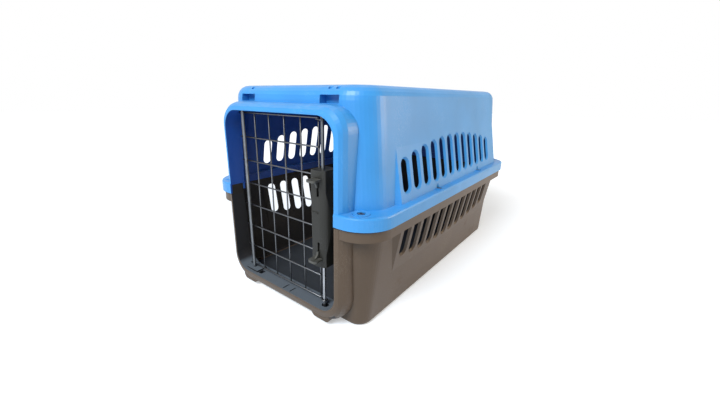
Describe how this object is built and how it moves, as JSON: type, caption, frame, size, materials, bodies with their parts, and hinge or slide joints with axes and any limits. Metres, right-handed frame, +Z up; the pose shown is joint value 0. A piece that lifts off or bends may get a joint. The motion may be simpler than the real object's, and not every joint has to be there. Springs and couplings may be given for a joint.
{
  "type": "bird travel carrier",
  "caption": "Hard travel carrier for a bird or small pet: bolted plastic shells with vent slots, a hinged wire door with a squeeze latch, and a fold-down carry handle.",
  "frame": {"origin": "centre of the footprint, on the surface the carrier stands on", "axes": "+Z up, the door faces -Y, and the latch is on the +X side of the door"},
  "size_m": [0.299, 0.4916, 0.285],
  "materials": {
    "upper_plastic": "satin moulded polypropylene",
    "lower_plastic": "satin moulded polypropylene",
    "mesh_wire": "bright zinc-plated wire",
    "rod_steel": "plated rod",
    "spring_steel": "plain spring wire",
    "fastener_steel": "zinc-plated",
    "latch_plastic": "satin moulded nylon",
    "lever_plastic": "satin moulded nylon",
    "handle_plastic": "satin moulded polypropylene"
  },
  "bodies": {
    "body": {"lower_shell": "lower_plastic", "upper_shell": "upper_plastic", "handle_pin_front": "rod_steel", "handle_pin_rear": "rod_steel", "flange_bolt_1": "fastener_steel", "flange_bolt_2": "fastener_steel", "flange_bolt_3": "fastener_steel", "flange_bolt_4": "fastener_steel", "flange_bolt_5": "fastener_steel", "flange_bolt_6": "fastener_steel", "flange_bolt_7": "fastener_steel", "flange_bolt_8": "fastener_steel", "flange_nut_1": "fastener_steel", "flange_nut_2": "fastener_steel", "flange_nut_3": "fastener_steel", "flange_nut_4": "fastener_steel", "flange_nut_5": "fastener_steel", "flange_nut_6": "fastener_steel", "flange_nut_7": "fastener_steel", "flange_nut_8": "fastener_steel"},
    "door": {"door_mesh": "mesh_wire", "hinge_rod": "rod_steel", "latch_front": "latch_plastic", "latch_back": "latch_plastic", "latch_screw_upper": "fastener_steel", "latch_screw_lower": "fastener_steel", "upper_spring": "spring_steel", "lower_spring": "spring_steel"},
    "upper_latch": {"upper_lever": "lever_plastic", "upper_bolt": "rod_steel"},
    "lower_latch": {"lower_lever": "lever_plastic", "lower_bolt": "rod_steel"},
    "handle": {"carry_handle": "handle_plastic"}
  },
  "joints": [
    {"name": "door_hinge", "type": "hinge", "parent": "body", "child": "door", "pos_m": [-0.0725, -0.22375, 0.138], "axis": [0, 0, -1], "range_deg": [0, 120]},
    {"name": "upper_squeeze", "type": "slide", "parent": "door", "child": "upper_latch", "axis": [0, 0, -1], "range_m": [0, 0.012], "stiffness_N_per_m": 250, "springref_m": -0.012, "deforming": ["upper_spring"]},
    {"name": "lower_squeeze", "type": "slide", "parent": "door", "child": "lower_latch", "axis": [0, 0, 1], "range_m": [0, 0.012], "stiffness_N_per_m": 250, "springref_m": -0.012, "deforming": ["lower_spring"]},
    {"name": "handle_pivot", "type": "hinge", "parent": "body", "child": "handle", "pos_m": [0, 0.00475, 0.274], "axis": [0, -1, 0], "range_deg": [0, 90]}
  ]
}
